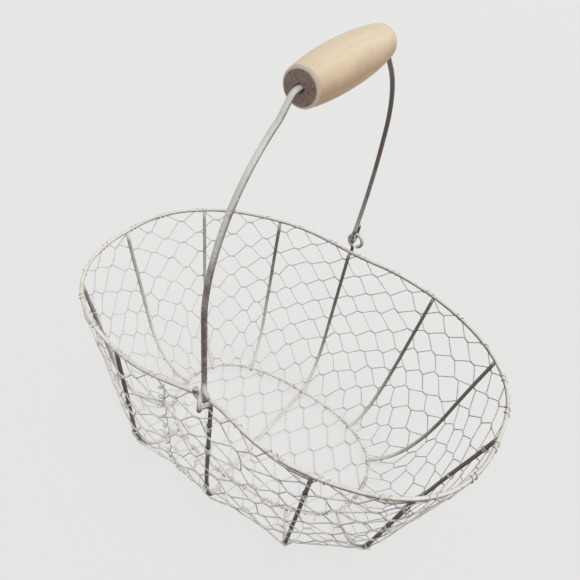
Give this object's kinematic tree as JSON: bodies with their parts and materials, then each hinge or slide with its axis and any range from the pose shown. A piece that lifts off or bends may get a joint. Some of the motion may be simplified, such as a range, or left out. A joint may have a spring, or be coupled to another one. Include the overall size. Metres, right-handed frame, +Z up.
{
  "type": "egg basket",
  "caption": "Oval egg collection basket: painted wire rim, ribs and base ring covered in hexagonal wire netting, with a swinging wire bail and a turned wooden grip.",
  "frame": {"origin": "on the ground under the middle of the basket, which is the middle of its floor netting's flat underside", "axes": "+Z up; +X along the oval's length, the way the standing bail leans; +Y across the oval, within about a degree of the bail's hinge line"},
  "size_m": [0.343, 0.2238, 0.3664],
  "materials": {
    "rim_paint": "worn cream paint on iron wire",
    "frame_paint": "worn cream paint on iron wire, grey-brown where it has rubbed through",
    "bail_paint": "thin taupe paint worn to a satin sheen",
    "netting_paint": "cream paint over twisted galvanised wire",
    "grip_wood": "pale turned hardwood, worn satin"
  },
  "bodies": {
    "basket": {"rim_wire": "rim_paint", "base_ring": "frame_paint", "handle_rib": "frame_paint", "rib_end_left": "frame_paint", "rib_end_right": "frame_paint", "rib_shoulder_back_left": "frame_paint", "rib_shoulder_back_right": "frame_paint", "rib_shoulder_front_left": "frame_paint", "rib_shoulder_front_right": "frame_paint", "rib_side_back_left": "frame_paint", "rib_side_back_right": "frame_paint", "rib_side_front_left": "frame_paint", "rib_side_front_right": "frame_paint", "netting_bay_01": "netting_paint", "netting_bay_02": "netting_paint", "netting_bay_03": "netting_paint", "netting_bay_04": "netting_paint", "netting_bay_05": "netting_paint", "netting_bay_06": "netting_paint", "netting_bay_07": "netting_paint", "netting_bay_08": "netting_paint", "netting_bay_09": "netting_paint", "netting_bay_10": "netting_paint", "netting_bay_11": "netting_paint", "netting_bay_12": "netting_paint", "netting_base": "netting_paint"},
    "bail": {"bail_wire": "bail_paint"},
    "grip": {"wood_grip": "grip_wood"}
  },
  "joints": [
    {"name": "bail_hinge", "type": "hinge", "parent": "basket", "child": "bail", "pos_m": [-0.00227, 0, 0.1697], "axis": [-0.0213, 0.9998, 0], "range_deg": [-95.5, 90]},
    {"name": "grip_spin", "type": "hinge", "parent": "bail", "child": "grip", "pos_m": [0.00334, -0.00121, 0.35234], "axis": [-0.0199, 0.9987, 0.0461], "continuous": true}
  ]
}
